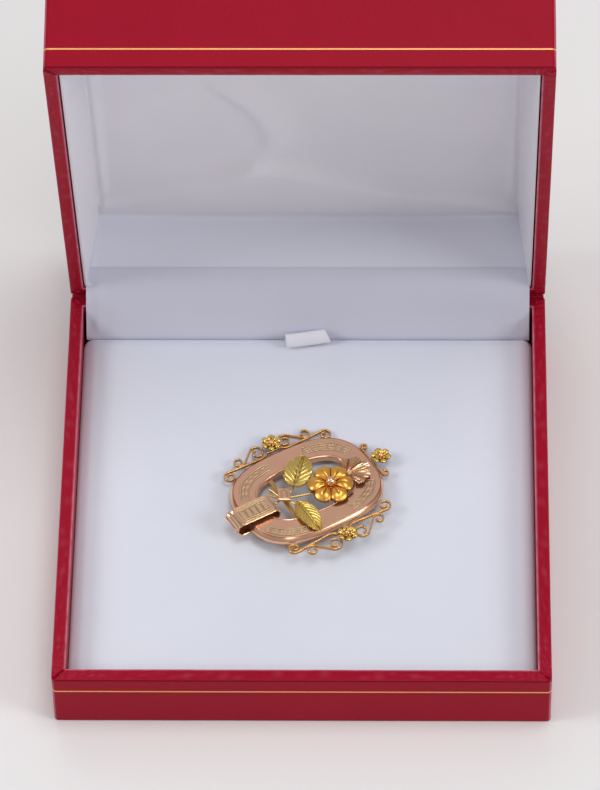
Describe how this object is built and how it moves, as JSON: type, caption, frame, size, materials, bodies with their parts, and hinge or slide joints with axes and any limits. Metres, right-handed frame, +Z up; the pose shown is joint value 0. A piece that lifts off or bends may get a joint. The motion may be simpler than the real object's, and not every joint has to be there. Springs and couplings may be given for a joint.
{
  "type": "flower brooch in hinged gift box",
  "caption": "Oval gold buckle brooch with a flower bouquet and wire scrolls, lying on the white pad of an open red hinged gift box.",
  "frame": {"origin": "middle of the box's underside, where it rests", "axes": "+X to the right, +Y from the front to the hinge, +Z up from the surface"},
  "size_m": [0.12, 0.1451, 0.1396],
  "materials": {
    "red_leatherette": "grained leatherette with a thin gold foil line",
    "white_velvet": "short-pile white velvet",
    "white_satin": "padded white satin with soft creases",
    "white_ribbon": "folded white satin ribbon",
    "hinge_brass": "plain brass",
    "rose_gold": "polished rose gold, engraved",
    "yellow_gold": "polished yellow gold",
    "orange_gold": "bloomed gold",
    "green_gold": "frosted green gold",
    "copper_gold": "polished reddish gold"
  },
  "bodies": {
    "box": {"box_base": "red_leatherette", "pad": "white_velvet", "hinge_apron": "white_satin", "ribbon_tab": "white_ribbon", "hinge_base": "hinge_brass", "buckle_frame": "rose_gold", "strap_loop": "rose_gold", "cross_bars": "yellow_gold", "stems": "yellow_gold", "tie": "rose_gold", "flower": "orange_gold", "flower_ball": "rose_gold", "upper_leaf": "green_gold", "lower_leaf": "green_gold", "rose_leaf": "rose_gold", "top_scrolls": "copper_gold", "bottom_scrolls": "copper_gold", "end_scrolls": "copper_gold", "top_flower": "green_gold", "bottom_flower": "green_gold", "end_flower": "green_gold", "top_ball": "rose_gold", "bottom_ball": "rose_gold", "end_ball": "rose_gold", "pin_back": "copper_gold"},
    "lid": {"lid_shell": "red_leatherette", "lid_lining": "white_satin", "hinge_lid": "hinge_brass"}
  },
  "joints": [
    {"name": "lid_hinge", "type": "hinge", "parent": "box", "child": "lid", "pos_m": [0, 0.06, 0.0171], "axis": [1, 0, 0], "range_deg": [0, 76]}
  ]
}
